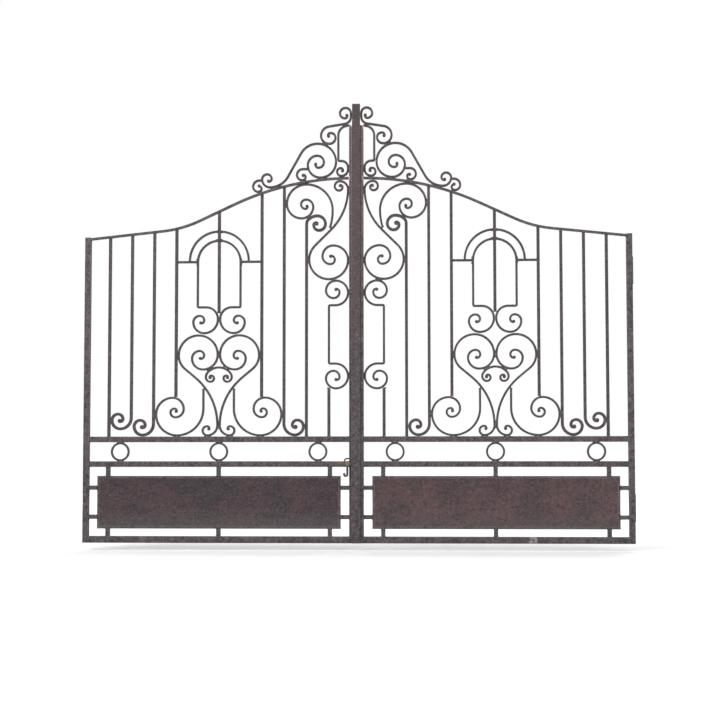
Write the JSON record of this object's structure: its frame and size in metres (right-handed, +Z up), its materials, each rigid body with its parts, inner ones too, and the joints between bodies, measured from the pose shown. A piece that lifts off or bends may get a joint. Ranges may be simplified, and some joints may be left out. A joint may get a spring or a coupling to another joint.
{
  "type": "wrought iron driveway gate",
  "caption": "Pair of rusty wrought iron driveway gates with a swept top rail, scrollwork, arched centres, rings, solid kick panels and a hanging latch hook, hung on plate pintles.",
  "frame": {"origin": "middle of the bearing face of the lower left pintle's plate, where it lies against the post", "axes": "+X across the gateway from the left post to the right post, +Y through the gate towards the side it opens to, +Z up"},
  "size_m": [3.016, 0.1423, 2.405],
  "materials": {
    "frame_iron": "rusted, worn dark paint",
    "bar_iron": "rusted, worn dark paint",
    "panel_iron": "rusted sheet, mottled",
    "hinge_iron": "rusted, greased",
    "latch_iron": "rubbed bright in places"
  },
  "bodies": {
    "pintles": {"left_lower_pintle": "hinge_iron", "left_upper_pintle": "hinge_iron", "right_lower_pintle": "hinge_iron", "right_upper_pintle": "hinge_iron"},
    "left_leaf": {"left_hinge_stile": "frame_iron", "left_meeting_stile": "frame_iron", "left_bottom_rail": "frame_iron", "left_lock_rail": "frame_iron", "left_mid_rail": "frame_iron", "left_top_rail": "frame_iron", "left_kick_panel": "panel_iron", "left_panel_stubs": "frame_iron", "left_rings": "bar_iron", "left_plain_bars": "bar_iron", "left_scroll_bars": "bar_iron", "left_arch_hoop": "bar_iron", "left_arch_frame": "bar_iron", "left_heart_scrolls": "bar_iron", "left_base_scrolls": "bar_iron", "left_stile_scrolls": "bar_iron", "left_crest_scrolls": "bar_iron", "left_hinge_eyes": "hinge_iron", "latch_staple": "latch_iron"},
    "right_leaf": {"right_hinge_stile": "frame_iron", "right_meeting_stile": "frame_iron", "right_bottom_rail": "frame_iron", "right_lock_rail": "frame_iron", "right_mid_rail": "frame_iron", "right_top_rail": "frame_iron", "right_kick_panel": "panel_iron", "right_panel_stubs": "frame_iron", "right_rings": "bar_iron", "right_plain_bars": "bar_iron", "right_scroll_bars": "bar_iron", "right_arch_hoop": "bar_iron", "right_arch_frame": "bar_iron", "right_heart_scrolls": "bar_iron", "right_base_scrolls": "bar_iron", "right_stile_scrolls": "bar_iron", "right_crest_scrolls": "bar_iron", "right_hinge_eyes": "hinge_iron", "meeting_cover": "frame_iron"},
    "latch": {"latch_hook": "latch_iron"}
  },
  "joints": [
    {"name": "left_leaf_swing", "type": "hinge", "parent": "pintles", "child": "left_leaf", "pos_m": [0.0206, -0.03, 0], "axis": [0, 0, 1], "range_deg": [0, 95]},
    {"name": "right_leaf_swing", "type": "hinge", "parent": "pintles", "child": "right_leaf", "pos_m": [2.9954, -0.03, 0], "axis": [0, 0, -1], "range_deg": [0, 95]},
    {"name": "latch_hook_swing", "type": "hinge", "parent": "left_leaf", "child": "latch", "pos_m": [1.4596, -0.0912, 0.238], "axis": [-1, 0, 0], "range_deg": [0, 100]}
  ]
}
